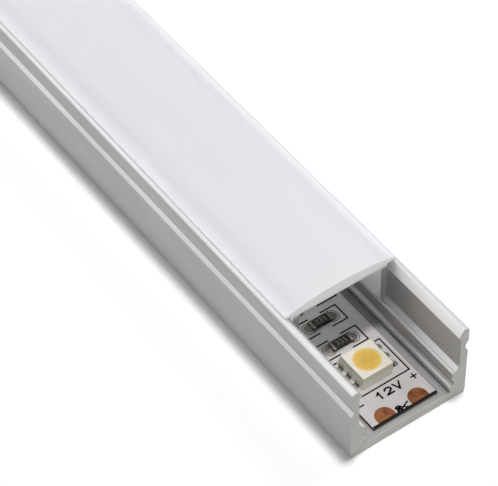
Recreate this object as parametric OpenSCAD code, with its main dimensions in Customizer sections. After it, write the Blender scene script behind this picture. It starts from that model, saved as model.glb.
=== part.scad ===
// Surface-mounted LED strip profile: an aluminium U-channel with a snap-in opal cover,
// and a self-adhesive LED strip on its floor.
// X runs along the profile, Y across it and Z up from the face that is fixed to the wall or shelf.
// The cover is slid back from the +X end, so that the strip's first lamp shows.

/* [Strip length] */
// Number of strip segments fitted
segments = 3; // [1:1:4]
// Length of one segment, from cut line to cut line
segment_l = 50; // [44:1:60]
// Distance from each end of the channel to the end of the strip
strip_setback = 0.85; // [0.2:0.05:5]

/* [Channel] */
// Width over the outer sides
channel_w = 18; // [17.4:0.1:26]
// Height over the lips
channel_h = 12.4; // [11.4:0.1:20]
// Thickness of the floor
floor_t = 1.4; // [1:0.05:2]
// Thickness of the walls in the recess beside the cover's legs
wall_t = 1.2; // [0.9:0.05:1.4]
// Radius of the two bottom edges
base_r = 0.6; // [0.2:0.05:0.8]
// Radius of the lips' outer edges
top_r = 0.55; // [0.1:0.05:0.6]

/* [Clip grooves] */
// Depth of the groove along each outer side
groove_d = 0.42; // [0.2:0.02:0.5]
// Width of the groove's flat bottom
groove_bottom_w = 0.7; // [0.5:0.05:1.2]
// Height of the groove's lower flank
groove_low_flank = 0.6; // [0.4:0.05:1.2]
// Height of the groove's upper flank
groove_high_flank = 0.6; // [0.3:0.05:0.9]
// Distance from the lips down to the groove's upper edge
groove_below_top = 2.45; // [1.8:0.05:3]

/* [Lips] */
// Width of the flat on top of each wall
lip_land = 0.85; // [0.6:0.05:0.95]
// Reach of the lip's nose past the wall
lip_reach = 0.4; // [0.24:0.02:0.5]
// Distance from the top down to the nose
lip_drop = 1.06; // [1:0.02:1.6]
// Height of the nose
nose_t = 0.22; // [0.15:0.01:0.4]
// Height of the sloped underside behind the nose
nose_back = 0.3; // [0.15:0.01:0.5]

/* [Ledges and rails] */
// Height of the ledge that the cover's legs stand over
ledge_z = 5; // [4.4:0.1:5.8]
// Reach of the ledge past the wall
ledge_reach = 1.05; // [0.9:0.05:1.4]
// Radius of the ledge's upper edge
ledge_r = 0.32; // [0.1:0.02:0.4]
// Thickness of the ledge
ledge_t = 1.35; // [1:0.05:1.5]
// Height of the sloped foot of the wall above the ledge
ledge_foot_h = 0.52; // [0.4:0.02:1.1]
// Width of that foot
ledge_foot_w = 0.58; // [0.2:0.02:0.6]
// Height of the rail beside the strip
rail_h = 1.05; // [0.9:0.05:1.3]
// Reach of the rail past the wall
rail_reach = 1.36; // [1.2:0.02:1.6]
// Radius of the rail's top edge
rail_r = 0.55; // [0.1:0.05:0.6]
// Depth of the slot between ledge and rail, measured from the ledge's edge
slot_d = 0.3; // [0.1:0.02:0.5]
// Size of the undercut at the rail's foot
undercut = 0.2; // [0.1:0.02:0.3]

/* [Cover] */
// Distance of the cover's front edge from the channel's +X end, as the photo shows it
cover_back = 14.15; // [0:0.05:30]
// Distance from the channel's side to the cover's edge
cover_inset = 0.6; // [0.4:0.02:0.7]
// Gap between the lips and the cover's edge
seat_gap = 0.02; // [0.02:0.01:0.1]
// Height of the cover's edge
cover_edge_t = 0.45; // [0.3:0.05:0.8]
// Rise of the crown from the edges to the middle
crown_rise = 1.05; // [0.5:0.05:2]
// Depth of the cover's flat underside below the lips
cover_sink = 0.35; // [0.2:0.05:0.6]
// Thickness of a leg
leg_t = 0.9; // [0.6:0.05:1.2]
// Gap between a leg and the lip's nose
leg_gap = 0.1; // [0.06:0.01:0.15]
// Gap between a leg's foot and the ledge
foot_gap = 0.9; // [0.4:0.05:1.6]
// Reach of the snap bead on a leg
bead_reach = 0.28; // [0.15:0.01:0.33]
// Gap between the bead and the lip's sloped underside
bead_gap = 0.12; // [0.06:0.01:0.18]
// Height of the bead's upright face
bead_flat = 0.25; // [0.1:0.05:0.4]
// Height of the bead's lower slope
bead_slope = 0.55; // [0.3:0.05:0.9]

/* [Flexible strip] */
// Width of the film
film_w = 10; // [9.6:0.1:12]
// Thickness of the film
film_t = 0.2; // [0.1:0.01:0.3]
// Thickness of the adhesive tape under it
tape_t = 0.15; // [0.05:0.01:0.3]
// Distance from the film's edge to the tape's edge
tape_margin = 0.2; // [0:0.05:1]
// Thickness of the copper where it is bare
copper_t = 0.04; // [0.02:0.01:0.08]
// Width of a copper pad
pad_w = 2.7; // [1.6:0.1:3]
// Length of a pad on one side of the cut line
pad_l = 2.2; // [1.6:0.1:3]
// Distance between the two pads' middles
pad_pitch = 5.2; // [4:0.1:5.6]
// Offset of the strip from the middle of the channel, as the photo shows it
strip_shift = 0.25; // [0:0.05:0.4]

/* [Lamps] */
// Number of lamps on a segment
lamps_per_segment = 3; // [1:1:3]
// Offset of the lamps from the strip's middle
lamp_shift = 0.3; // [0:0.05:0.4]
// Side of the housing at its foot
lamp_base = 5.5; // [4.8:0.1:5.6]
// Side of the housing at its top
lamp_top = 4.7; // [4.5:0.05:4.8]
// Height of the housing
lamp_h = 1.55; // [1.2:0.05:2]
// Cut on the corner that marks the polarity
corner_cut = 0.9; // [0.5:0.05:1.2]
// Diameter of the cup's mouth
cup_d = 3.75; // [3:0.05:4]
// Diameter of the cup's bottom
cup_bottom_d = 2.9; // [2:0.05:3]
// Depth of the cup
cup_depth = 0.9; // [0.5:0.05:1]
// Depth of the filling's surface below the mouth
filling_sink = 0.06; // [0.02:0.01:0.2]
// Width of a lead
lead_w = 0.8; // [0.5:0.05:1]
// Thickness of a lead
lead_t = 0.15; // [0.1:0.01:0.2]
// Height of a lead up the housing's side
lead_h = 0.7; // [0.4:0.05:1]
// Length of a lead's foot
lead_foot = 0.4; // [0.25:0.05:0.6]
// Distance between leads
lead_pitch = 1.65; // [1.3:0.05:1.7]

/* [Resistors] */
// Lamps of a segment that its resistors stand behind, by number from the cut line
resistor_lamp = [1, 1, 2]; // [1:1:3]
// Distances of the resistors from the middles of those lamps
resistor_at = [4.95, 9.25, 8.3]; // [4.4:0.05:10]
// Overall length, across the strip
resistor_l = 3.2; // [3:0.05:3.4]
// Width, along the strip
resistor_w = 1.45; // [1.2:0.05:1.7]
// Height
resistor_h = 0.55; // [0.4:0.05:0.7]
// Length of each tinned end cap
cap_l = 0.45; // [0.3:0.05:0.6]
// How far the caps stand proud of the black coating
cap_proud = 0.04; // [0.02:0.01:0.08]

/* [Solder] */
// Reach of a fillet past its end cap
fillet_reach = 0.9; // [0.4:0.05:1]
// Height of a fillet up its end cap
fillet_h = 0.4; // [0.2:0.05:0.4]
// Reach of a fillet past its lead
lead_fillet = 0.25; // [0.15:0.05:0.35]
// Thickness of a fillet at its toe
toe_t = 0.05; // [0.02:0.01:0.08]

/* [Hidden] */
ARC_STEPS = 5;
// share of an outline's side that the arcs at its two ends may use up
SIDE_USED = 0.9;
$fn = 48;
// lengths and stations along X
strip_l = segments * segment_l;
channel_l = strip_l + 2 * strip_setback;
cover_l = channel_l - cover_back;
strip_end = strip_l / 2;
lamp_pitch = segment_l / lamps_per_segment;
lamp_count = segments * lamps_per_segment;
resistor_count = segments * len(resistor_at);
// levels of the strip
film_z = floor_t + tape_t;
print_z = film_z + film_t;

// A lamp's and a resistor's place along X, counted from the +X end
function lamp_x(i) = strip_end - (i - 0.5) * lamp_pitch;
function resistor_x(i) = let(n = len(resistor_at), s = floor((i - 1) / n), k = i - 1 - s * n)
    lamp_x(s * lamps_per_segment + resistor_lamp[k]) - resistor_at[k];

// Half the angle at corner p between its neighbours a and b
function half_angle(a, p, b) =
    acos(max(-1, min(1, (a - p) * (b - p) / norm(a - p) / norm(b - p)))) / 2;

// Points of the arc that rounds corner p and takes the length setback off both its sides
function arc(a, p, b, setback) =
    setback <= 0 ? [p] :
    let(
        to_a = (a - p) / norm(a - p),
        to_b = (b - p) / norm(b - p),
        half = half_angle(a, p, b),
        radius = setback * tan(half),
        middle = p + (to_a + to_b) / norm(to_a + to_b) * radius / sin(half),
        from = p + to_a * setback - middle,
        turn = (to_b[0] * to_a[1] - to_b[1] * to_a[0]) > 0 ? 180 - 2 * half : 2 * half - 180
    )
    [for (k = [0:ARC_STEPS]) let(t = turn * k / ARC_STEPS)
        middle + [from[0] * cos(t) - from[1] * sin(t), from[0] * sin(t) + from[1] * cos(t)]];

// Closed outline through corners [y, z, radius].
// Two arcs on a side that is too short for both share most of it, each in step with its own length.
function rounded(corners) = let(
    n = len(corners),
    at = [for (c = corners) [c[0], c[1]]],
    wish = [for (i = [0:n - 1])
        corners[i][2] / tan(half_angle(at[(i + n - 1) % n], at[i], at[(i + 1) % n]))]
) [
    for (i = [0:n - 1])
        let(
            before = (i + n - 1) % n,
            after = (i + 1) % n,
            room = [for (k = [before, after])
                wish[i] == 0 ? 0 : SIDE_USED * norm(at[k] - at[i]) * wish[i] / (wish[i] + wish[k])]
        )
        each arc(at[before], at[i], at[after], min(wish[i], room[0], room[1]))
];

// Corners given as [distance in from the channel's side, height, radius], set on the +Y or -Y side
function on_side(corners, side) =
    [for (c = corners) [side * (channel_w / 2 - c[0]), c[1], c[2]]];
function backwards(list) = [for (i = [len(list) - 1:-1:0]) list[i]];

// One wall, from the bottom edge up the outside, over the lip and down the inside to the floor
function wall_corners() = let(
    groove_top = channel_h - groove_below_top,
    groove_foot = groove_top - groove_high_flank - groove_bottom_w - groove_low_flank,
    nose = wall_t + lip_reach,
    nose_z = channel_h - lip_drop,
    ledge = wall_t + ledge_reach,
    rail = wall_t + rail_reach,
    rail_top = floor_t + rail_h,
    // the slot's back stands between the flank under the ledge and the rail's top
    slot = ledge - slot_d,
    slot_top = ledge_z - ledge_t,
    back_top = slot_top - 0.22 * (slot_top - rail_top)
) [
    [0, 0, base_r],
    [0, groove_foot, 0.1],
    [groove_d, groove_foot + groove_low_flank, 0.1],
    [groove_d, groove_top - groove_high_flank, 0.1],
    [0, groove_top, 0.1],
    [0, channel_h, top_r],
    [lip_land, channel_h, 0.12],
    [nose, nose_z, 0.08],
    [nose, nose_z - nose_t, 0.05],
    [wall_t, nose_z - nose_t - nose_back, 0.08],
    [wall_t, ledge_z + ledge_foot_h, 0.2],
    [wall_t + ledge_foot_w, ledge_z, 0.2],
    [ledge, ledge_z, ledge_r],
    [ledge, slot_top, 0.1],
    [slot, back_top, 0.08],
    [slot, rail_top, 0.08],
    [rail, rail_top, rail_r],
    [rail, floor_t + 2 * undercut, 0.05],
    [rail - undercut, floor_t + undercut, 0.05],
    [rail - undercut, floor_t, 0.05]
];

// Right leg of the cover with its snap bead, from the crown's edge down the outside and up the inside
function leg_corners() = let(
    edge_z = channel_h + seat_gap,
    leg = wall_t + lip_reach + leg_gap,
    // the bead's upper slope runs parallel to the lip's sloped underside
    slope = nose_back / lip_reach,
    hook_z = channel_h - lip_drop - nose_t - bead_gap + slope * leg_gap,
    bead_z = hook_z - slope * bead_reach,
    bead_foot = bead_z - bead_flat,
    foot_z = ledge_z + foot_gap
) [
    [cover_inset, edge_z, 0.05],
    [leg, edge_z, 0.05],
    [leg, hook_z, 0.05],
    [leg - bead_reach, bead_z, 0.06],
    [leg - bead_reach, bead_foot, 0.1],
    [leg, bead_foot - bead_slope, 0.2],
    [leg, foot_z, 0.4],
    [leg + leg_t, foot_z, 0.25],
    [leg + leg_t, channel_h - cover_sink, 0.6]
];

// Lays an outline in Y and Z along X, centred on mid_x
module along_x(length, mid_x = 0) {
    translate([mid_x - length / 2, 0, 0])
        rotate([90, 0, 90])
        linear_extrude(height = length)
        children();
}

module box_on(size, at) {
    translate([at[0] - size[0] / 2, at[1] - size[1] / 2, at[2]]) cube(size);
}

// Extruded aluminium channel, cut square at both ends
module channel() {
    color([0.7, 0.7, 0.69])
        along_x(channel_l)
        polygon(rounded(concat(
            on_side(wall_corners(), 1),
            backwards(on_side(wall_corners(), -1))
        )));
}

// Opal cover: the crown lies over both lips, and each leg's bead hooks under a lip's nose
module diffuser_cover() {
    half_w = channel_w / 2 - cover_inset;
    top = channel_h + seat_gap + cover_edge_t + crown_rise;
    crown_r = (half_w * half_w + crown_rise * crown_rise) / (2 * crown_rise);
    color([0.93, 0.93, 0.95])
        along_x(cover_l, -cover_back / 2)
        intersection() {
            polygon(rounded(concat(
                on_side(leg_corners(), 1),
                backwards(on_side(leg_corners(), -1)),
                [[-half_w, top, 0], [half_w, top, 0]]
            )));
            translate([0, top - crown_r]) circle(r = crown_r, $fn = 360);
        }
}

// Double-sided tape between the film and the floor
module adhesive_tape() {
    color([0.9, 0.88, 0.82])
        box_on([strip_l, film_w - 2 * tape_margin, tape_t], [0, strip_shift, floor_t]);
}

// White flexible printed circuit
module strip_film() {
    color([0.87, 0.86, 0.88])
        box_on([strip_l, film_w, film_t], [0, strip_shift, film_z]);
}

// Pad on one side of a cut line: a strip of copper with a round end
module half_pad(side) {
    radius = pad_w / 2;
    intersection() {
        union() {
            translate([side * (pad_l - radius), 0]) circle(r = radius);
            translate([side > 0 ? 0 : radius - pad_l, -radius])
                square([pad_l - radius, pad_w]);
        }
        translate([side > 0 ? 0 : -pad_l, -radius]) square([pad_l, pad_w]);
    }
}

// Bare copper at every cut line: a whole pad between segments, half a pad at the strip's ends
module copper_pads() {
    color([0.72, 0.42, 0.27])
        for (cut = [0:segments], y = [-pad_pitch / 2, pad_pitch / 2])
            translate([strip_end - cut * segment_l, y + strip_shift, print_z])
            linear_extrude(height = copper_t)
            union() {
                if (cut > 0) half_pad(1);
                if (cut < segments) half_pad(-1);
            }
}

// White moulded housing: four sides with mould draft, one corner cut off, and a conical cup
module led_housing(i) {
    half = lamp_base / 2;
    draft = atan((lamp_base - lamp_top) / 2 / lamp_h);
    color([0.93, 0.91, 0.86])
        translate([lamp_x(i), strip_shift + lamp_shift, print_z])
        difference() {
            linear_extrude(height = lamp_h)
                polygon([
                    [-half, -half], [half, -half], [half, half - corner_cut],
                    [half - corner_cut, half], [-half, half]
                ]);
            for (turn = [0:90:270])
                rotate([0, 0, turn])
                translate([half, -lamp_base, 0])
                rotate([0, -draft, 0])
                cube([lamp_base, 2 * lamp_base, 2 * lamp_h]);
            rotate_extrude()
                polygon([
                    [0, lamp_h - cup_depth], [cup_bottom_d / 2, lamp_h - cup_depth],
                    [cup_d / 2, lamp_h], [cup_d / 2, 2 * lamp_h], [0, 2 * lamp_h]
                ]);
        }
}

// Yellow silicone filling of the cup, a little lower than its mouth
module led_phosphor(i) {
    depth = cup_depth - filling_sink;
    mouth = cup_bottom_d + (cup_d - cup_bottom_d) * depth / cup_depth;
    color([0.95, 0.75, 0.3])
        translate([lamp_x(i), strip_shift + lamp_shift, print_z + lamp_h - cup_depth])
        cylinder(h = depth, d1 = cup_bottom_d, d2 = mouth);
}

// Six tinned leads, three on each side: up the housing's side and out over the pad
module led_leads(i) {
    color([0.75, 0.75, 0.74])
        translate([lamp_x(i), strip_shift + lamp_shift, print_z])
        for (side = [0, 180], k = [-1:1])
            rotate([0, 0, side])
            translate([k * lead_pitch, lamp_base / 2, 0])
            rotate([90, 0, 90])
            linear_extrude(height = lead_w, center = true)
            polygon([
                [0, 0], [lead_t + lead_foot, 0], [lead_t + lead_foot, lead_t],
                [lead_t, lead_t], [lead_t, lead_h], [0, lead_h]
            ]);
}

// Ceramic chip with a black coating, between its end caps
module resistor(i) {
    color([0.07, 0.07, 0.07])
        box_on(
            [resistor_w - 2 * cap_proud, resistor_l - 2 * cap_l, resistor_h - cap_proud],
            [resistor_x(i), strip_shift, print_z]
        );
}

// Two tinned end caps
module resistor_caps(i) {
    color([0.72, 0.71, 0.68])
        for (side = [-1, 1])
            box_on(
                [resistor_w, cap_l, resistor_h],
                [resistor_x(i), strip_shift + side * (resistor_l - cap_l) / 2, print_z]
            );
}

// Hollow fillet with its upright face at y = 0, falling to its toe at y = reach
module fillet(width, height, reach) {
    rotate([90, 0, 90])
        linear_extrude(height = width, center = true)
        polygon(concat(
            [[0, 0], [reach, 0]],
            [for (t = [0:30:90]) [reach * (1 - sin(t)), toe_t + (height - toe_t) * (1 - cos(t))]]
        ));
}

// Solder at every end cap and every lead's foot
module solder() {
    color([0.66, 0.65, 0.62]) {
        for (i = [1:resistor_count], side = [0, 180])
            translate([resistor_x(i), strip_shift, print_z])
            rotate([0, 0, side])
            translate([0, resistor_l / 2, 0])
            fillet(resistor_w, fillet_h, fillet_reach);
        for (i = [1:lamp_count], side = [0, 180], k = [-1:1])
            translate([lamp_x(i), strip_shift + lamp_shift, print_z])
            rotate([0, 0, side])
            translate([k * lead_pitch, lamp_base / 2 + lead_t + lead_foot, 0])
            fillet(lead_w, lead_t, lead_fillet);
    }
}

channel();
diffuser_cover();
adhesive_tape();
strip_film();
copper_pads();
solder();
for (i = [1:lamp_count]) {
    led_housing(i);
    led_phosphor(i);
    led_leads(i);
}
for (i = [1:resistor_count]) {
    resistor(i);
    resistor_caps(i);
}
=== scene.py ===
import math

import bmesh
import bpy
from mathutils import Color, Matrix, Vector


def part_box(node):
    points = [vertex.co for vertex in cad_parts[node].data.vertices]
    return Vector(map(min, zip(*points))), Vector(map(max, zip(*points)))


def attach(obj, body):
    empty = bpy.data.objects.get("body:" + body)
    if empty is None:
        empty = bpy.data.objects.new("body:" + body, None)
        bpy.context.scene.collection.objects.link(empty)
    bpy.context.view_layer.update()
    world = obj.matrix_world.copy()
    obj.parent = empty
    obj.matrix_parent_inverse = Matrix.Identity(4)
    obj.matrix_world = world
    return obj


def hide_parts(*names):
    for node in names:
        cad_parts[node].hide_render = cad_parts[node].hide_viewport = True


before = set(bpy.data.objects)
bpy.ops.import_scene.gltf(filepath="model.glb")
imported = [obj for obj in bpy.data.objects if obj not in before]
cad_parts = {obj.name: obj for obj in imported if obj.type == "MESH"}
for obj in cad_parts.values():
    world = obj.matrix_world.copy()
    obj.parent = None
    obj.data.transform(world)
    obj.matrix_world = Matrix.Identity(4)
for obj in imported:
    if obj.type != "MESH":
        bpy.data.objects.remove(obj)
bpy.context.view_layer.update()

# The channel: one extruded length of aluminium, satin anodised, so that the fine lines of the die
# still show along it. Inside, its walls are painted paler as painted light, and its floor darkest as
# painted shade. It was sawn to length, and its two ends are bare metal with saw marks.

MM = 0.001
SMOOTH_ANGLE = math.radians(32)
SAWN_DEPTH = 0.03
SAWN_EDGE = 0.04 * MM
SAW_ASIDE = 60
SAW_UP = 90
INSIDE_HALF = 8.15


class Value:
    """What varies over a surface: a shader socket that can be added, multiplied and compared."""

    def __init__(self, finish, socket):
        self.finish = finish
        self.socket = socket

    def worked(self, operation, first, second=0.0):
        return self.finish.node("ShaderNodeMath", {"operation": operation}, {0: first, 1: second})

    def __add__(self, other):
        return self.worked("ADD", self, other)

    def __sub__(self, other):
        return self.worked("SUBTRACT", self, other)

    def __rsub__(self, other):
        return self.worked("SUBTRACT", other, self)

    def __mul__(self, other):
        return self.worked("MULTIPLY", self, other)

    def __pow__(self, other):
        return self.worked("POWER", self, other)

    def __mod__(self, other):
        return self.worked("FLOORED_MODULO", self, other)

    def __gt__(self, other):
        return self.worked("GREATER_THAN", self, other)

    def __lt__(self, other):
        return self.worked("LESS_THAN", self, other)

    def __abs__(self):
        return self.worked("ABSOLUTE", self)

    __radd__ = __add__
    __rmul__ = __mul__

    def step(self, low, high):
        """0 below low, 1 above high and smooth between them."""
        return self.finish.node(
            "ShaderNodeMapRange",
            {"interpolation_type": "SMOOTHSTEP"},
            {"Value": self, "From Min": low, "From Max": high},
        )

    def larger(self, other):
        return self.worked("MAXIMUM", self, other)

    def past(self, place):
        """0 before that place and 1 past it, across an edge 0.1 mm soft."""
        return self.step(place - 0.05, place + 0.05)


class Finish:
    """A procedural material: its constants sit on the Principled shader, and its nodes come from node()."""

    def __init__(self, name, constants):
        self.material = bpy.data.materials.new(name)
        self.material.use_nodes = True
        self.tree = self.material.node_tree
        self.shader = self.tree.nodes["Principled BSDF"]
        for socket, value in constants.items():
            self.shader.inputs[socket].default_value = value

    def node(self, kind, settings, sockets, output=0):
        made = self.tree.nodes.new(kind)
        for setting, value in settings.items():
            setattr(made, setting, value)
        for socket, value in sockets.items():
            self.join(value, made.inputs[socket])
        return Value(self, made.outputs[output])

    def join(self, value, socket):
        if isinstance(value, Value):
            self.tree.links.new(value.socket, socket)
        else:
            socket.default_value = value

    def place(self):
        """Object coordinates in millimetres: the vector, and its three parts."""
        metres = self.node("ShaderNodeTexCoord", {}, {}, "Object")
        vector = self.node("ShaderNodeVectorMath", {"operation": "SCALE"}, {0: metres, "Scale": 1 / MM})
        return vector, *(self.node("ShaderNodeSeparateXYZ", {}, {0: vector}, axis) for axis in "XYZ")

    def noise(self, vector, density, detail=2.0):
        """Noise about 0.5, with that many waves a millimetre along each axis."""
        spread = self.node("ShaderNodeVectorMath", {"operation": "MULTIPLY"}, {0: vector, 1: density})
        return self.node("ShaderNodeTexNoise", {}, {"Vector": spread, "Scale": 1.0, "Detail": detail})

    def mix(self, share, first, second):
        return self.node("ShaderNodeMix", {"data_type": "RGBA"}, {0: share, 6: first, 7: second}, 2)

    def wear(self, colour=None, roughness=None, metallic=None, height=None):
        """Feeds what varies to the shader. A height is in millimetres."""
        if colour is not None:
            self.join(colour, self.shader.inputs["Base Color"])
        if roughness is not None:
            self.join(roughness, self.shader.inputs["Roughness"])
        if metallic is not None:
            self.join(metallic, self.shader.inputs["Metallic"])
        if height is not None:
            bump = self.node("ShaderNodeBump", {}, {"Height": height, "Distance": MM}, "Normal")
            self.join(bump, self.shader.inputs["Normal"])

    def let_through(self, share, colour):
        """Lets that share of the light through to the far side, scattered."""
        through = self.node("ShaderNodeBsdfTranslucent", {}, {"Color": colour})
        solid = Value(self, self.shader.outputs[0])
        both = self.node("ShaderNodeMixShader", {}, {0: share, 1: solid, 2: through})
        self.join(both, self.tree.nodes["Material Output"].inputs["Surface"])


def tone(red, green, blue):
    """A colour as a screen shows it, 0 to 255, made linear."""
    linear = Color((red / 255, green / 255, blue / 255)).from_srgb_to_scene_linear()
    return (*linear, 1.0)


def merged(node):
    """A copy of a CAD solid with its corners joined and its flat faces whole."""
    shape = bmesh.new()
    shape.from_mesh(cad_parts[node].data)
    bmesh.ops.remove_doubles(shape, verts=shape.verts, dist=0.0005 * MM)
    bmesh.ops.dissolve_limit(
        shape, angle_limit=math.radians(0.5), verts=shape.verts, edges=shape.edges
    )
    return shape


def broken(shape, edges, width):
    """Takes the sharpness off edges, as tumbling or a deburring tool does."""
    bmesh.ops.bevel(
        shape, geom=edges, offset=width, offset_type="OFFSET", segments=2,
        profile=0.5, affect="EDGES", material=-1, clamp_overlap=True,
    )


def sawn_edges(shape):
    """The edges round the two end faces."""
    return [
        edge for edge in shape.edges
        if sum(abs(face.normal.x) > 0.99 for face in edge.link_faces) == 1
    ]


def sharp_edges(shape):
    return [edge for edge in shape.edges if edge.calc_face_angle(0.0) > SMOOTH_ANGLE]


def piece(name, shape, finish, replaced=(), body="profile"):
    """The finished piece on its body, smooth where its faces meet at a shallow angle."""
    shape.normal_update()
    for face in shape.faces:
        face.smooth = True
    for edge in sharp_edges(shape):
        edge.smooth = False
    mesh = bpy.data.meshes.new(name)
    shape.to_mesh(mesh)
    shape.free()
    mesh.materials.append(finish.material)
    made = bpy.data.objects.new(name, mesh)
    bpy.context.scene.collection.objects.link(made)
    weighted = made.modifiers.new("weighted_normals", "WEIGHTED_NORMAL")
    weighted.keep_sharp = True
    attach(made, body)
    if replaced:
        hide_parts(*replaced)


anodised = Finish("anodised_aluminium", {"Metallic": 1.0})
spot, along, across, up = anodised.place()
saw_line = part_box("channel")[1].x / MM - SAWN_DEPTH
sawn = abs(along) > saw_line
die_lines = anodised.noise(spot, (0.012, 7.0, 7.0), 4.0)
clouds = anodised.noise(spot, (0.05, 0.2, 0.2))
grain = anodised.noise(spot, (14.0, 14.0, 14.0))
saw_radius = ((across + SAW_ASIDE) ** 2 + (up - SAW_UP) ** 2) ** 0.5
saw_marks = anodised.noise(
    anodised.node("ShaderNodeCombineXYZ", {}, {"X": saw_radius, "Y": along * 0.1}), (5.0, 1.0, 1.0), 3.0
)
shade = (die_lines * 0.55 + clouds * 0.45).step(0.3, 0.7)
satin = anodised.mix(shade, tone(151, 150, 150), tone(162, 161, 161))
# Painted light and shade: the inner walls and ledges get a paler tone, and the inner floor a darker one.
painted_light_inside = anodised.mix(shade, tone(167, 166, 165), tone(179, 178, 177))
painted_shade_floor = anodised.mix(shade, tone(128, 127, 126), tone(139, 138, 137))
inside = 1 - abs(across).past(INSIDE_HALF)
satin = anodised.mix(inside, satin, anodised.mix(up.step(1.5, 1.7), painted_shade_floor, painted_light_inside))
bare = anodised.mix(saw_marks.step(0.3, 0.7), tone(169, 167, 164), tone(180, 178, 175))
anodised.wear(
    colour=anodised.mix(sawn, satin, bare),
    roughness=die_lines * 0.1 + grain * 0.06 + sawn * 0.04 + 0.54,
    height=(1 - sawn) * (die_lines * 0.0018 + grain * 0.0004) + sawn * saw_marks * 0.0016,
)
channel = merged("channel")
broken(channel, sawn_edges(channel), SAWN_EDGE)
piece("channel_extrusion", channel, anodised, ["channel"])

# The tape: a thin double-sided acrylic tape that sticks the film to the channel's floor. Only its
# cut edges show, as a dark line under the film's ends and sides; the whole tape is coloured dark.

tape = Finish("acrylic_tape", {"Roughness": 0.6})
spot, *_ = tape.place()
fibres = tape.noise(spot, (3.0, 3.0, 12.0))
tape.wear(
    colour=tape.mix(fibres.step(0.3, 0.7), tone(62, 57, 50), tone(92, 86, 77)),
    height=fibres * 0.006,
)
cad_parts["adhesive_tape"].data.materials[0] = tape.material

# The film: a flexible printed circuit, 10 mm wide. White solder mask covers the copper tracks, which
# stand out a little under it. Its cut edges, and a thin band beside them, are painted dark brown: partly
# the film's core, partly painted shade.

FILM_MARGIN = 0.04
TRACK_RELIEF = 0.012
RAIL_INNER = 3.6
RAIL_OUTER = 4.55
ISLAND_MIDDLE = 1.95
ISLAND_HALF = 1.15
ISLAND_END = 4.15
BRIDGE_HALF = 0.75
BRIDGE_START = 5.25
film_low, film_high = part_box("strip_film")
strip_end = film_high.x
film_top = film_high.z
film_half = (film_high.y - film_low.y) / 2
film_middle = (film_high.y + film_low.y) / 2
segment = 50 * MM
lamp_pitch = segment / 3 / MM
print_shift = (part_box("led_housing_1")[0].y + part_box("led_housing_1")[1].y) / 2

mask = Finish("white_solder_mask", {})
spot, along, across, _ = mask.place()
depth = strip_end / MM - along
beside_lamp = abs(depth % lamp_pitch - lamp_pitch / 2)
shifted = across - print_shift / MM
across = across - film_middle / MM
rails = abs(shifted).past(RAIL_INNER) * (1 - abs(across).past(RAIL_OUTER))
islands = 1 - abs(abs(shifted) - ISLAND_MIDDLE).past(ISLAND_HALF)
islands = islands * (1 - beside_lamp.past(ISLAND_END))
bridge = (1 - abs(across).past(BRIDGE_HALF)) * beside_lamp.past(BRIDGE_START)
tracks = (rails + islands + bridge).step(0.0, 1.0)
orange_peel = mask.noise(spot, (5.0, 5.0, 5.0))
specks = mask.noise(spot, (1.1, 1.1, 1.1), 4.0)
# Partly painted shade: the cut edges and a 0.04 mm band beside them are dark brown.
cut_edge = 1 - (1 - (abs(across) > film_half / MM - FILM_MARGIN)) * (depth > FILM_MARGIN)
white = mask.mix(tracks * 0.6, tone(180, 176, 175), tone(186, 182, 182))
white = mask.mix(specks.step(0.62, 0.8) * 0.25, white, tone(172, 168, 166))
mask.wear(
    colour=mask.mix(cut_edge, white, tone(58, 46, 34)),
    roughness=orange_peel * 0.14 + cut_edge * 0.3 + 0.3,
    height=tracks * TRACK_RELIEF + orange_peel * 0.003,
)
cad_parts["strip_film"].data.materials[0] = mask.material

# The cut-line pads: bare copper where the strip may be cut and wires soldered on. The copper has
# dulled unevenly in the air and is finely scuffed.

copper = Finish("bare_copper", {"Metallic": 1.0})
spot, *_ = copper.place()
tarnish = copper.noise(spot, (0.9, 0.9, 0.9), 4.0)
scuffs = copper.noise(spot, (2.0, 14.0, 1.0), 3.0)
copper.wear(
    colour=copper.mix(tarnish.step(0.35, 0.65), tone(112, 72, 46), tone(88, 53, 34)),
    roughness=tarnish * 0.25 + scuffs * 0.1 + 0.3,
    height=scuffs * 0.002 + tarnish * 0.004,
)
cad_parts["copper_pads"].data.materials[0] = copper.material
copper_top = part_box("copper_pads")[1].z

# The printing: black ink on the solder mask, which frames the parts and marks the cut line, the
# voltage and the two poles. A pair of scissors shows where the strip may be cut.

INK_T = 0.012 * MM
INK_W = 0.22 * MM
CUT_W = 0.3 * MM
CUT_INSET = 0.15
CUT_MARGIN = 0.22
LETTER_W = 0.26 * MM
RING_W = 0.24 * MM
FRAME_FAR = 2.72
FRAME_NEAR = 4.9
FIRST_FRAME_NEAR = 3.43
FRAME_LEFT = -3.86
FRAME_RIGHT = 4.62
BRACKET_NEAR = 1.4
BRACKET_FAR = 1.35
BRACKET_LEFT = -3.2
BRACKET_RIGHT = 3.5
POLES_BACK = 3.74
PLUS_SIDE = 4.4
SIGN_HALF = 0.38
VOLTAGE_BACK = 3.2
VOLTAGE_SIDE = 0.45


def bar(shape, start, end, width, low, high):
    """A straight stroke of ink between two points of the film, with square ends."""
    start, end = Vector(start), Vector(end)
    middle = (start + end) / 2
    run = end - start
    size = Matrix.Diagonal((run.length + width, width, high - low, 1.0))
    turn = Matrix.Rotation(math.atan2(run.y, run.x), 4, "Z")
    lift = Matrix.Translation((middle.x, middle.y, (low + high) / 2))
    bmesh.ops.create_cube(shape, size=1.0, matrix=lift @ turn @ size)


def stroke(shape, points, width=INK_W, top=INK_T):
    """Ink along a line of points, each [distance back from the cut line, place across] in millimetres."""
    on_film = [(cut_x - back * MM, side * MM) for back, side in points]
    for start, end in zip(on_film, on_film[1:]):
        bar(shape, start, end, width, film_top, film_top + top)


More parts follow.
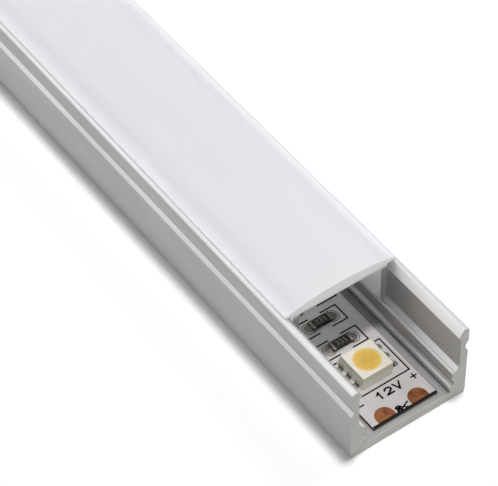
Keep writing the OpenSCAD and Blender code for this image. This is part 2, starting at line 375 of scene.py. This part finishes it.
LETTERS = {
    "1": [(0.2, 0.72), (0.55, 1.0), (0.55, 0.0)],
    "2": [
        (0.0, 0.78), (0.2, 0.97), (0.5, 1.0), (0.85, 0.92),
        (0.95, 0.7), (0.85, 0.5), (0.0, 0.0), (1.0, 0.0),
    ],
    "3": [(0.0, 0.9), (0.5, 1.0), (0.95, 0.78), (0.45, 0.53), (0.95, 0.28), (0.5, 0.0), (0.0, 0.1)],
    "V": [(0.0, 1.0), (0.5, 0.0), (1.0, 1.0)],
}


def lettering(words, size, gap, foot, middle):
    """The strokes of words that read along +Y, their feet at foot and centred on middle, in millimetres."""
    width, height = size
    first = middle - (len(words) * (width + gap) - gap) / 2
    return [
        [(foot + v * height, first + n * (width + gap) + u * width) for u, v in LETTERS[letter]]
        for n, letter in enumerate(words)
    ]


ink = Finish("black_ink", {"Specular IOR Level": 0.1})
spot, *_ = ink.place()
thin_ink = ink.noise(spot, (6.0, 6.0, 1.0), 3.0)
ink.wear(
    colour=ink.mix(thin_ink.step(0.5, 0.8), tone(8, 8, 7), tone(26, 25, 23)),
    roughness=thin_ink * 0.3 + 0.4,
    height=thin_ink * 0.003,
)
lamp_backs = [lamp_pitch * (k + 0.5) for k in range(3)]
resistor_backs = [(strip_end - sum(c.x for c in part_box(f"resistor_{i}")) / 2) / MM for i in (1, 2, 3)]
printing = bmesh.new()
for number in range(4):
    cut_x = strip_end - number * segment
    near_side = -CUT_INSET if number == 3 else CUT_INSET
    left, right = [(film_middle + side * film_half) / MM - side * CUT_MARGIN for side in (-1, 1)]
    stroke(printing, [[near_side, left], [near_side, right]], CUT_W, copper_top - film_top + INK_T)
for number in range(3):
    cut_x = strip_end - number * segment
    # frame of each lamp: the first one's near side is whole, and the others leave room for a track
    for k, back in enumerate(lamp_backs):
        near = back - (FIRST_FRAME_NEAR if k == 0 else FRAME_NEAR)
        far = back + FRAME_FAR
        stroke(printing, [[far, 3.95], [far, FRAME_RIGHT], [near, FRAME_RIGHT], [near, 1.57]])
        stroke(printing, [[far, -2.1], [far, FRAME_LEFT], [near, FRAME_LEFT], [near, -0.75]])
        if k == 0:
            stroke(printing, [[near, -0.75], [near, 1.57]])
    # brackets round both ends of each resistor
    for back in resistor_backs:
        near, far = back - BRACKET_NEAR, back + BRACKET_FAR
        stroke(printing, [[near, 1.2], [near, BRACKET_RIGHT], [far, BRACKET_RIGHT], [far, 1.2]])
        stroke(printing, [[near, -0.95], [near, BRACKET_LEFT], [far, BRACKET_LEFT], [far, -0.95]])
    # poles, voltage and the cut sign
    stroke(printing, [[POLES_BACK, PLUS_SIDE - SIGN_HALF], [POLES_BACK, PLUS_SIDE + SIGN_HALF]])
    stroke(printing, [[POLES_BACK - SIGN_HALF, PLUS_SIDE], [POLES_BACK + SIGN_HALF, PLUS_SIDE]])
    stroke(printing, [[POLES_BACK, -4.2], [POLES_BACK, -3.5]])
    for line in lettering("12V", (0.95, 1.0), 0.45, VOLTAGE_BACK, VOLTAGE_SIDE):
        stroke(printing, line, LETTER_W)
    for ring in (0.42, 0.92):
        turns = [math.tau * n / 12 for n in range(13)]
        loop = [(ring + 0.15 * math.cos(a), -0.3 + 0.3 * math.sin(a)) for a in turns]
        stroke(printing, loop, RING_W)
    stroke(printing, [[0.45, -0.1], [1.0, 1.25]])
    stroke(printing, [[0.9, -0.1], [0.2, 1.0]])
piece("circuit_printing", printing, ink)

# The solder lands: small tinned areas of the circuit round each lead and each resistor end. Those of
# the resistors have a dark rim round them.

LAND_T = 0.03 * MM
CAP_LAND = (1.75 * MM, 1.5 * MM)
CAP_LAND_OUT = 1.85 * MM
RIM_W = 0.125 * MM
LEAD_LAND = (1.1 * MM, 1.1 * MM)
LEAD_LAND_OUT = 3.1 * MM
LEAD_PITCH = 1.65 * MM


def land(shape, middle, size, thickness):
    """A flat oval or round land on the film."""
    length, width = size
    corner = min(length, width) / 2
    low = Vector((middle[0] - length / 2, middle[1] - width / 2))
    high = Vector((middle[0] + length / 2, middle[1] + width / 2))
    ring = []
    for n in range(20):
        angle = math.tau * (n + 0.5) / 20
        point = Vector((math.cos(angle), math.sin(angle))) * corner
        point.x += (high.x - corner if point.x > 0 else low.x + corner)
        point.y += (high.y - corner if point.y > 0 else low.y + corner)
        ring.append(shape.verts.new((point.x, point.y, film_top)))
    face = shape.faces.new(ring)
    raised = bmesh.ops.extrude_face_region(shape, geom=[face])
    rise = [v for v in raised["geom"] if isinstance(v, bmesh.types.BMVert)]
    bmesh.ops.translate(shape, verts=rise, vec=(0, 0, thickness))


dark_rim_finish = Finish("dark_land_rim", {"Roughness": 0.35})
spot, *_ = dark_rim_finish.place()
pools = dark_rim_finish.noise(spot, (2.5, 2.5, 2.5), 3.0)
dark_rim_finish.wear(
    colour=dark_rim_finish.mix(pools.step(0.35, 0.7), tone(62, 58, 52), tone(96, 90, 81)),
    roughness=pools * 0.3 + 0.2,
    height=pools * 0.01,
)
tin = Finish("tinned_copper", {"Metallic": 0.2})
spot, *_ = tin.place()
crystals = tin.noise(spot, (4.0, 4.0, 4.0), 3.0)
tin.wear(
    colour=tin.mix(crystals.step(0.35, 0.65), tone(166, 162, 155), tone(188, 184, 177)),
    roughness=crystals * 0.2 + 0.5,
    height=crystals * 0.01,
)
rims = bmesh.new()
lands = bmesh.new()
for i in range(1, 10):
    low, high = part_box(f"resistor_caps_{i}")
    for side in (-1, 1):
        middle = ((low.x + high.x) / 2, (low.y + high.y) / 2 + side * CAP_LAND_OUT)
        land(rims, middle, [measure + 2 * RIM_W for measure in CAP_LAND], LAND_T / 3)
        land(lands, middle, CAP_LAND, LAND_T)
    low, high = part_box(f"led_leads_{i}")
    for side in (-1, 1):
        for k in (-1, 0, 1):
            middle = ((low.x + high.x) / 2 + k * LEAD_PITCH, (low.y + high.y) / 2 + side * LEAD_LAND_OUT)
            land(lands, middle, LEAD_LAND, LAND_T)
piece("land_rims", rims, dark_rim_finish)
piece("solder_lands", lands, tin)

# The resistors: ceramic chips with a black glaze on top and a tinned cap at each end. The glaze
# carries a three-figure code in pale ink, and the caps are dulled by the soldering.

CHIP_EDGE = 0.05 * MM
CAP_EDGE = 0.07 * MM
CODE_W = 0.09 * MM
CODE_SIZE = (0.42, 0.75)
CODE_GAP = 0.16

glaze = Finish("resistor_glaze", {"Specular IOR Level": 0.25})
spot, *_ = glaze.place()
pits = glaze.noise(spot, (4.0, 4.0, 4.0), 3.0)
glaze.wear(
    colour=glaze.mix(pits.step(0.4, 0.7), tone(12, 11, 9), tone(26, 24, 20)),
    roughness=pits * 0.25 + 0.3,
    height=pits * 0.008,
)
code_ink = Finish("pale_code_ink", {"Roughness": 0.6})
spot, *_ = code_ink.place()
faded = code_ink.noise(spot, (7.0, 7.0, 1.0))
code_ink.wear(
    colour=code_ink.mix(faded.step(0.35, 0.65), tone(124, 118, 92), tone(158, 152, 124)),
    height=faded * 0.002,
)
cap_tin = Finish("tinned_caps", {"Metallic": 1.0})
spot, *_ = cap_tin.place()
dulling = cap_tin.noise(spot, (5.0, 5.0, 5.0), 3.0)
cap_tin.wear(
    colour=cap_tin.mix(dulling.step(0.35, 0.65), tone(100, 97, 91), tone(128, 125, 118)),
    roughness=dulling * 0.2 + 0.5,
    height=dulling * 0.008,
)
codes = bmesh.new()
for i in range(1, 10):
    chip = merged(f"resistor_{i}")
    broken(chip, sharp_edges(chip), CHIP_EDGE)
    piece(f"resistor_chip_{i}", chip, glaze, [f"resistor_{i}"])
    caps = merged(f"resistor_caps_{i}")
    broken(caps, sharp_edges(caps), CAP_EDGE)
    piece(f"resistor_end_caps_{i}", caps, cap_tin, [f"resistor_caps_{i}"])
    low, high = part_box(f"resistor_{i}")
    middle = ((low.x + high.x) / 2, (low.y + high.y) / 2)
    for line in lettering("331", CODE_SIZE, CODE_GAP, -CODE_SIZE[1] / 2, 0.0):
        points = [(middle[0] - back * MM, middle[1] + side * MM) for back, side in line]
        for start, end in zip(points, points[1:]):
            bar(codes, start, end, CODE_W, high.z, high.z + INK_T)
piece("resistor_codes", codes, code_ink)

# The lamps: a square white housing, moulded round a lead frame, with one corner cut off to mark the
# polarity. Its conical cup is filled to just under the rim with yellow silicone.

FILLING_SAG = 0.05 * MM
CUP_FLOOR_RADIUS = 1.45 * MM
HOUSING_EDGE = 0.05 * MM
LEAD_EDGE = 0.025 * MM
white_resin = Finish("lamp_resin", {"Subsurface Weight": 0.3, "Subsurface Scale": 0.5 * MM})
spot, _, _, up = white_resin.place()
mould_grain = white_resin.noise(spot, (6.0, 6.0, 6.0), 3.0)
# Painted shade: the housing is darker below about 2.1 mm, towards the film.
painted_shade_low = 1 - up.step(2.1, 3.1)
white_resin.wear(
    colour=white_resin.mix(painted_shade_low, tone(213, 207, 193), tone(231, 227, 212)),
    roughness=mould_grain * 0.2 + 0.35,
    height=mould_grain * 0.006,
)
silicone = Finish(
    "yellow_silicone", {"Subsurface Weight": 0.2, "Subsurface Scale": 0.3 * MM, "Coat Weight": 0.2}
)
spot, along, across, _ = silicone.place()
depth = strip_end / MM - along
lamp_back = depth % lamp_pitch - lamp_pitch / 2
lamp_side = across - print_shift / MM
radius = (lamp_back ** 2 + lamp_side ** 2) ** 0.5
die = 1 - abs(lamp_back).step(0.35, 0.7)
die = die * (1 - abs(abs(lamp_side) - 0.55).step(0.2, 0.5))
powder = silicone.noise(spot, (3.0, 3.0, 3.0), 3.0)
yellow = silicone.mix(radius.step(0.6, 1.85), tone(201, 162, 58), tone(209, 173, 76))
yellow = silicone.mix(die * 0.35, yellow, tone(192, 148, 52))
yellow = silicone.mix(powder.step(0.5, 0.8) * 0.3, yellow, tone(226, 194, 112))
silicone.wear(
    colour=silicone.mix(radius.step(1.5, 2.0) * 0.7, yellow, tone(226, 208, 150)),
    roughness=powder * 0.2 + 0.2,
    height=powder * 0.006,
)
leads = Finish("tinned_leads", {"Metallic": 1.0})
spot, *_ = leads.place()
bend_lines = leads.noise(spot, (9.0, 1.5, 3.0), 3.0)
leads.wear(
    colour=leads.mix(bend_lines.step(0.3, 0.7), tone(108, 105, 98), tone(134, 131, 124)),
    roughness=bend_lines * 0.2 + 0.55,
    height=bend_lines * 0.004,
)
for i in range(1, 10):
    housing = merged(f"led_housing_{i}")
    broken(housing, sharp_edges(housing), HOUSING_EDGE)
    piece(f"lamp_housing_{i}", housing, white_resin, [f"led_housing_{i}"])
    low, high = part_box(f"led_phosphor_{i}")
    middle = (low + high) / 2
    mouth = (high.x - low.x) / 2
    filling = bmesh.new()
    outline = [(0.0, low.z), (CUP_FLOOR_RADIUS, low.z), (mouth, high.z)]
    for share in (0.95, 0.8, 0.6, 0.4, 0.2, 0.0):
        outline.append((mouth * share, high.z - FILLING_SAG * (1 - share ** 2)))
    rim = [filling.verts.new((middle.x + r, middle.y, z)) for r, z in outline]
    edges = [filling.edges.new(pair) for pair in zip(rim, rim[1:])]
    bmesh.ops.spin(
        filling, geom=rim + edges, cent=(middle.x, middle.y, 0), axis=(0, 0, 1),
        angle=math.tau, steps=40, use_merge=True,
    )
    bmesh.ops.remove_doubles(filling, verts=filling.verts, dist=0.001 * MM)
    bmesh.ops.recalc_face_normals(filling, faces=filling.faces)
    piece(f"lamp_filling_{i}", filling, silicone, [f"led_phosphor_{i}"])
    frame_leads = merged(f"led_leads_{i}")
    broken(frame_leads, sharp_edges(frame_leads), LEAD_EDGE)
    piece(f"lamp_leads_{i}", frame_leads, leads, [f"led_leads_{i}"])

# The solder: it has wetted each cap and lead foot and set as a hollow, round skirt. Its skin is
# dull and slightly grainy.

solder = Finish("solder", {"Metallic": 1.0})
spot, *_ = solder.place()
frost = solder.noise(spot, (7.0, 7.0, 7.0), 3.0)
solder.wear(
    colour=solder.mix(frost.step(0.3, 0.7), tone(104, 101, 95), tone(130, 127, 120)),
    roughness=frost * 0.2 + 0.52,
    height=frost * 0.012,
)


def skirt(shape, foot, side, reach, width, height, toe):
    """Half a hollow cone of solder against an upright face at foot, which spreads towards side."""
    rises = [(math.sin(a), math.cos(a)) for a in (math.pi / 2 * n / 4 for n in range(5))]
    outline = [(reach * (1 - s), toe + (height - toe) * (1 - c)) for s, c in rises]
    outline = [(reach, 0.0)] + outline
    line = [shape.verts.new((r, 0.0, z)) for r, z in outline]
    edges = [shape.edges.new(pair) for pair in zip(line, line[1:])]
    swept = bmesh.ops.spin(
        shape, geom=line + edges, cent=(0, 0, 0), axis=(0, 0, 1), angle=math.pi, steps=10
    )
    corners = {v for face in shape.faces if not face.tag for v in face.verts}
    for face in shape.faces:
        face.tag = True
    squeeze = Matrix.Diagonal((width / 2 / reach, side, 1.0, 1.0))
    bmesh.ops.transform(shape, matrix=Matrix.Translation(foot) @ squeeze, verts=list(corners))


skirts = bmesh.new()
for i in range(1, 10):
    low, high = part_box(f"resistor_caps_{i}")
    for side, wall in ((-1, low.y), (1, high.y)):
        foot = ((low.x + high.x) / 2, wall, film_top)
        skirt(skirts, foot, side, reach=0.88 * MM, width=1.6 * MM, height=0.4 * MM, toe=0.05 * MM)
    low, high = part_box(f"led_leads_{i}")
    for side, wall in ((-1, low.y), (1, high.y)):
        for k in (-1, 0, 1):
            foot = ((low.x + high.x) / 2 + k * LEAD_PITCH, wall, film_top)
            skirt(skirts, foot, side, reach=0.24 * MM, width=0.86 * MM, height=0.14 * MM, toe=0.04 * MM)
bmesh.ops.remove_doubles(skirts, verts=skirts.verts, dist=0.001 * MM)
bmesh.ops.holes_fill(skirts, edges=[e for e in skirts.edges if e.is_boundary], sides=0)
bmesh.ops.recalc_face_normals(skirts, faces=skirts.faces)
piece("solder_skirts", skirts, solder, ["solder"])

# The cover: an opal plastic extrusion that snaps over the lips. Its skin is satin, with faint lines
# from the die, and its ends are cut with a knife, which leaves them a little frosted. Where the legs
# are cut, their ends are painted much darker and let less light through, as painted shade.

LET_THROUGH = 0.62
CUT_DULLING = 0.2
LEG_PAINTED_SHADE = 0.3
CUT_DEPTH = 0.05
CROWN_EDGE = 0.2 * MM
opal = Finish("opal_plastic", {"IOR": 1.49, "Specular IOR Level": 0.3})
spot, along, _, up = opal.place()
near_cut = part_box("diffuser_cover")[1].x / MM
far_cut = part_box("diffuser_cover")[0].x / MM
cut = 1 - (along < near_cut - CUT_DEPTH) * (along > far_cut + CUT_DEPTH)
flow_lines = opal.noise(spot, (0.01, 0.5, 0.5), 2.0)
satin_grain = opal.noise(spot, (9.0, 9.0, 9.0))
pale = opal.mix(flow_lines.step(0.3, 0.7), tone(253, 252, 255), tone(254, 254, 255))
# Painted shade: the cut ends of the legs, below the crown, are grey-brown and let less light through.
leg = 1 - up.step(11.5, 12.5)
opal.wear(
    colour=opal.mix(cut, pale, opal.mix(leg, tone(226, 225, 224), tone(150, 147, 144))),
    roughness=satin_grain * 0.08 + flow_lines * 0.03 + cut * 0.2 + 0.3,
    height=flow_lines * 0.0004 + satin_grain * 0.0006 + cut * satin_grain * 0.006,
)
opal.let_through(LET_THROUGH - cut * (leg * LEG_PAINTED_SHADE + CUT_DULLING), tone(252, 253, 255))
cover = merged("diffuser_cover")
crown_edges = [
    edge for edge in sawn_edges(cover) if any(face.normal.z > 0.5 for face in edge.link_faces)
]
broken(cover, crown_edges, CROWN_EDGE)
leg_edges = [edge for edge in sawn_edges(cover) if edge.calc_face_angle(0.0) > SMOOTH_ANGLE]
broken(cover, leg_edges, SAWN_EDGE)
piece("cover_extrusion", cover, opal, ["diffuser_cover"], body="cover")

# The setting: a white floor that keeps the profile's shadow, a white world, a soft lamp nearly overhead,
# which throws a short shadow to the left, and a weak one on the right. Four softboxes shine only on what
# is glossy: the two high ones on the ledges and the lips' tops, the two low ones on flanks and slopes.

AMBIENT = 0.2
FLOOR_GLOW = 0.04
BLACK = (0.0, 0.0, 0.0, 1.0)
WHITE = (1.0, 1.0, 1.0, 1.0)
AIM = Vector((0.03, 0.0, 0.0))


def seen(finish):
    """1 where the camera looks, straight or by way of what is glossy or lets light through."""
    ways = ("Camera", "Glossy", "Transmission")
    straight, mirrored, through = [
        finish.node("ShaderNodeLightPath", {}, {}, f"Is {way} Ray") for way in ways
    ]
    return straight.larger(mirrored).larger(through)


paper = Finish("white_floor", {
    "Base Color": (0.95, 0.95, 0.95, 1.0),
    "Roughness": 1.0,
    "Specular IOR Level": 0.0,
    "Emission Strength": FLOOR_GLOW,
})
paper.join(paper.mix(seen(paper), BLACK, WHITE), paper.shader.inputs["Emission Color"])
ground = bmesh.new()
bmesh.ops.create_grid(ground, x_segments=1, y_segments=1, size=4.0)
ground_mesh = bpy.data.meshes.new("floor")
ground.to_mesh(ground_mesh)
ground.free()
ground_mesh.materials.append(paper.material)
floor = bpy.data.objects.new("floor", ground_mesh)
bpy.context.scene.collection.objects.link(floor)


class Surroundings(Finish):
    """The light from all round: its nodes come from node() too."""

    def __init__(self, name, colour):
        self.world = bpy.data.worlds.new(name)
        self.world.use_nodes = True
        self.tree = self.world.node_tree
        self.sky = self.tree.nodes["Background"]
        self.sky.inputs["Color"].default_value = colour


studio = Surroundings("white_world", WHITE)
level = studio.node(
    "ShaderNodeMapRange", {}, {"Value": seen(studio), "To Min": AMBIENT, "To Max": 1.0}
)
studio.join(level, studio.sky.inputs["Strength"])
bpy.context.scene.world = studio.world


def soft_lamp(name, direction, distance, size, power, glossy_only=False):
    """A round soft lamp that shines on the near end of the profile from that direction."""
    light = bpy.data.lights.new(name, "AREA")
    light.shape = "DISK"
    light.size = size
    light.energy = power
    holder = bpy.data.objects.new(name, light)
    direction = Vector(direction).normalized()
    holder.location = AIM + direction * distance
    holder.rotation_euler = direction.to_track_quat("Z", "Y").to_euler()
    holder.visible_diffuse = not glossy_only
    bpy.context.scene.collection.objects.link(holder)


soft_lamp("key_lamp", (0.0, 0.1, 1.0), distance=1.4, size=0.2, power=14.2)
soft_lamp("side_fill", (-0.1, 0.65, 0.75), distance=1.4, size=0.6, power=3.0)
soft_lamp("top_softbox", (-0.55, -0.1, 0.8), distance=0.6, size=0.5, power=0.6, glossy_only=True)
soft_lamp("lip_softbox", (-0.5, 0.8, 0.3), distance=0.6, size=0.3, power=0.9, glossy_only=True)
soft_lamp("ledge_softbox", (-0.55, -0.5, 0.65), distance=0.6, size=0.36, power=1.45, glossy_only=True)
soft_lamp("flank_softbox", (-0.55, -0.8, 0.3), distance=0.6, size=0.6, power=2.4, glossy_only=True)

# The camera: a long lens, as product photographs are taken with, above and in front of the near
# end. Its place and turn come from matching the profile's edges.

camera_data = bpy.data.cameras.new("camera")
camera_data.lens = 174.18
camera_data.clip_start = 0.01
camera = bpy.data.objects.new("camera", camera_data)
sight = Vector((-0.54821, 0.38126, -0.74439))
rightwards = Vector((0.58256, 0.81269, -0.01278))
upwards = rightwards.cross(sight)
turn = Matrix((rightwards, upwards, -sight)).transposed()
stand = Matrix.Translation((0.21472, -0.12008, 0.23776))
camera.matrix_world = stand @ turn.to_4x4()
bpy.context.scene.collection.objects.link(camera)
bpy.context.scene.camera = camera
bpy.context.scene.view_settings.view_transform = "Standard"
